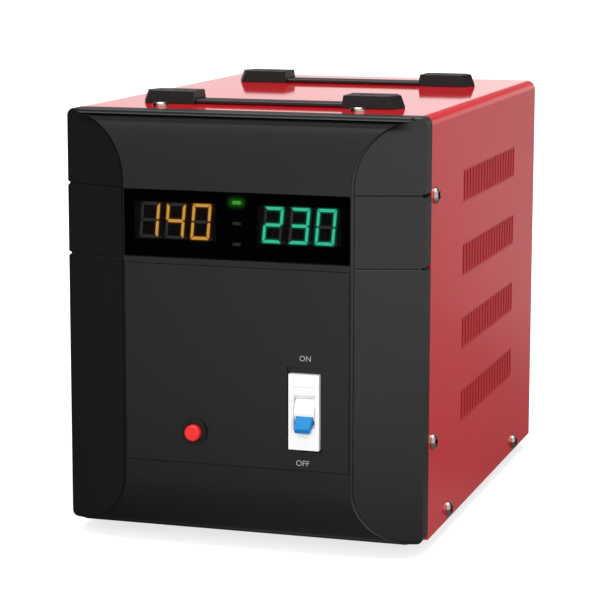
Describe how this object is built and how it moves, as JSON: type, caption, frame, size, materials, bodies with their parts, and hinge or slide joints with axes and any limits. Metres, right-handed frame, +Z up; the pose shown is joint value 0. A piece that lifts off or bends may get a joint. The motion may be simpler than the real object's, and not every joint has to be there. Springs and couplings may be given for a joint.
{
  "type": "automatic voltage stabilizer",
  "caption": "Free-standing automatic voltage stabilizer: red slotted steel case, black front with twin digital displays, breaker and push button, strap handles on top.",
  "frame": {"origin": "middle of the overall box, on the floor under the rubber feet", "axes": "+X to the right seen from the front, +Y from the front to the rear, +Z up; metres"},
  "size_m": [0.2182, 0.3476, 0.2579],
  "materials": {
    "red_enamel": "gloss",
    "zinc_sheet": "satin",
    "black_gloss": "gloss",
    "black_satin": "satin",
    "smoked_window": "gloss",
    "circuit_board": "satin",
    "module_black": "matte",
    "amber_light": "gloss",
    "teal_light": "gloss",
    "segment_off": "gloss",
    "green_light": "gloss",
    "breaker_white": "satin",
    "toggle_blue": "satin",
    "bright_zinc": "satin",
    "black_nylon": "satin",
    "button_red": "gloss",
    "handle_black": "satin",
    "strap_black": "satin",
    "black_steel": "satin",
    "bright_steel": "bright",
    "foot_rubber": "matte",
    "coil_wrap": "satin",
    "core_steel": "satin",
    "pad_rubber": "matte",
    "spacer_brass": "satin",
    "relay_blue": "satin",
    "capacitor_blue": "gloss"
  },
  "bodies": {
    "casing": {"cover": "red_enamel", "base_pan": "zinc_sheet", "front_frame": "zinc_sheet", "rear_panel": "red_enamel", "front_moulding": "black_gloss", "control_plate": "black_satin", "display_window": "smoked_window", "display_board": "circuit_board", "display_screws": "bright_steel", "input_display": "module_black", "output_display": "module_black", "input_digits_lit": "amber_light", "input_digits_unlit": "segment_off", "output_digits_lit": "teal_light", "output_digits_unlit": "segment_off", "working_light": "green_light", "status_lights": "segment_off", "breaker_body": "breaker_white", "breaker_rail": "bright_zinc", "rail_bracket": "zinc_sheet", "button_housing": "black_nylon", "button_nut": "bright_zinc", "handle_end_caps": "handle_black", "front_strap_ends": "strap_black", "rear_strap_ends": "strap_black", "handle_screws": "black_steel", "cover_screws": "bright_steel", "rear_screws": "bright_steel", "moulding_screws": "bright_steel", "rubber_feet": "foot_rubber", "foot_screws": "bright_steel", "transformer_winding": "coil_wrap", "transformer_core": "core_steel", "transformer_pads": "pad_rubber", "clamp_disc": "bright_zinc", "clamp_bolt": "bright_zinc", "control_bracket": "zinc_sheet", "control_board": "circuit_board", "board_spacers": "spacer_brass", "relays": "relay_blue", "capacitors": "capacitor_blue", "terminal_block": "black_nylon", "terminal_screws": "spacer_brass", "terminal_cover": "black_nylon", "terminal_cover_screws": "bright_steel"},
    "toggle": {"toggle_drum": "breaker_white", "breaker_toggle": "toggle_blue"},
    "button": {"button_cap": "button_red"},
    "front_grip": {"front_strap": "strap_black"},
    "rear_grip": {"rear_strap": "strap_black"}
  },
  "joints": [
    {"name": "breaker_switch", "type": "hinge", "parent": "casing", "child": "toggle", "pos_m": [0.0408, -0.15953, 0.0837], "axis": [-1, 0, 0], "range_deg": [0, 76]},
    {"name": "delay_button", "type": "slide", "parent": "casing", "child": "button", "axis": [0, 1, 0], "range_m": [0, 0.0025], "stiffness_N_per_m": 400, "springref_m": -0.0015},
    {"name": "front_handle_lift", "type": "slide", "parent": "casing", "child": "front_grip", "axis": [0, 0, 1], "range_m": [0, 0.019], "stiffness_N_per_m": 100, "springref_m": -0.001, "deforming": ["front_strap_ends"]},
    {"name": "rear_handle_lift", "type": "slide", "parent": "casing", "child": "rear_grip", "axis": [0, 0, 1], "range_m": [0, 0.019], "stiffness_N_per_m": 100, "springref_m": -0.001, "deforming": ["rear_strap_ends"]}
  ]
}
